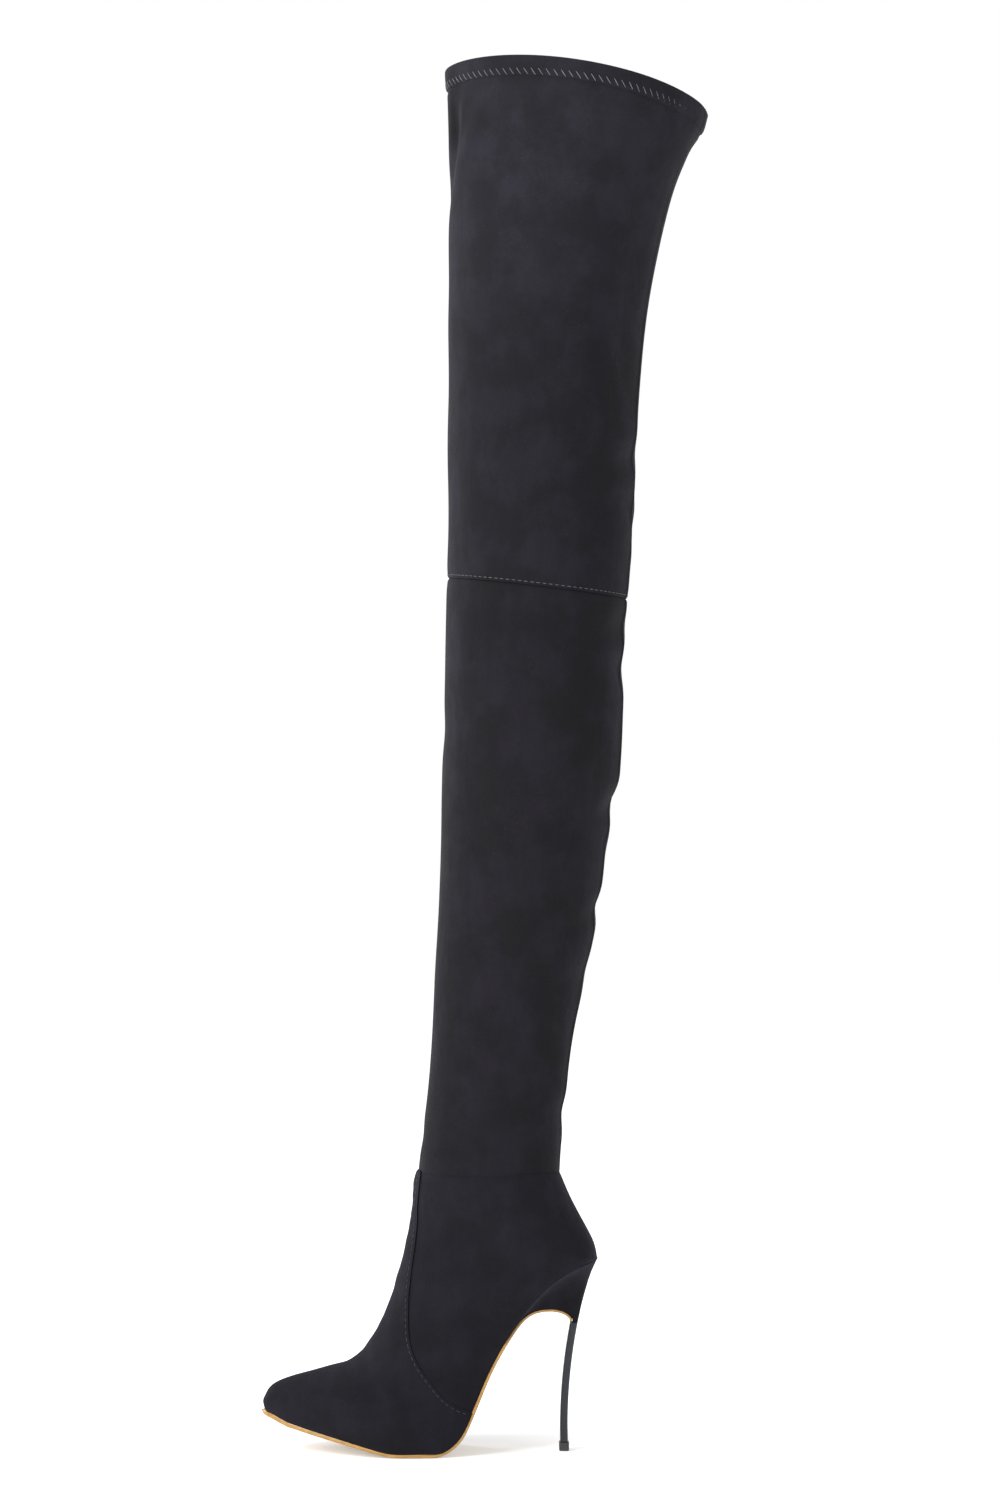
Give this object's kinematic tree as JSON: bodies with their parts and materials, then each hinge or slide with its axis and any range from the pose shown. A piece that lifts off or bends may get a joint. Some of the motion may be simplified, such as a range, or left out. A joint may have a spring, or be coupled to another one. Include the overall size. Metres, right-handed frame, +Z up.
{
  "type": "thigh high boot",
  "caption": "Pull-on thigh high stretch suede boot for the left foot, with a pointed toe, a tan sole and a thin metal stiletto heel.",
  "frame": {"origin": "on the floor, in the middle of the flat tread under the ball of the foot", "axes": "-X towards the toe, -Y towards the outer side of the left foot, +Z up"},
  "size_m": [0.2809, 0.133, 0.8708],
  "materials": {
    "suede": "matte",
    "tan_sole": "satin",
    "insole_board": "matte",
    "covered_heel": "matte",
    "gunmetal": "satin",
    "top_piece": "matte"
  },
  "bodies": {
    "root": {"upper_foot": "suede", "vamp": "suede", "shaft_lower": "suede", "shaft_upper": "suede", "insole": "insole_board", "outsole": "tan_sole", "heel_block": "covered_heel", "heel_blade": "gunmetal", "heel_tip": "top_piece"}
  },
  "joints": []
}
